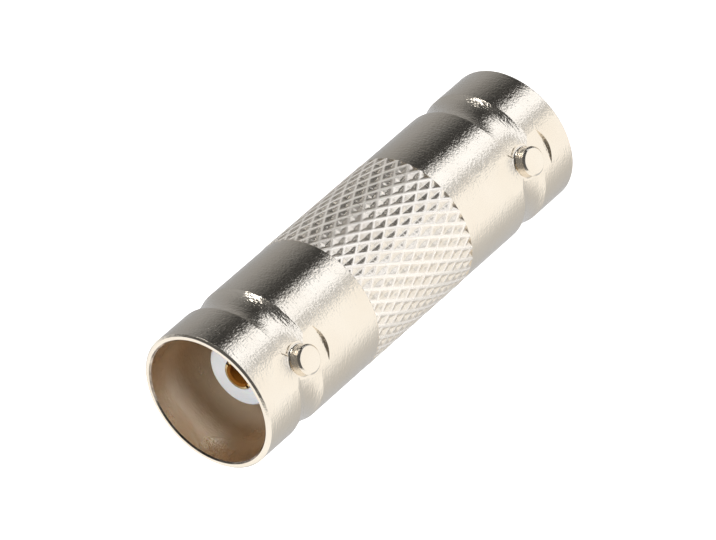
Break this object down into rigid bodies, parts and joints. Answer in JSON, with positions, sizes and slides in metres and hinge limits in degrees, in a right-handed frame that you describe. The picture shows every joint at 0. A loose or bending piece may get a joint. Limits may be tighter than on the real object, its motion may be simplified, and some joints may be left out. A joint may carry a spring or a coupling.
{
  "type": "bayonet coaxial coupler",
  "caption": "Straight coaxial coupler: a nickel-plated tube with an open bayonet jack at each end and a diamond-knurled grip band in the middle.",
  "frame": {"origin": "centre of the far rim's end plane, where the part stands", "axes": "+Z along the coupler from the far mouth to the near mouth, +X through a pair of bayonet lugs"},
  "size_m": [0.011, 0.0096, 0.0319],
  "materials": {
    "nickel": "satin nickel plate over brass",
    "insulator": "white turned plastic",
    "gold": "gold plate"
  },
  "bodies": {
    "root": {"shell": "nickel", "near_insulator": "insulator", "far_insulator": "insulator", "centre_contact": "gold"}
  },
  "joints": []
}
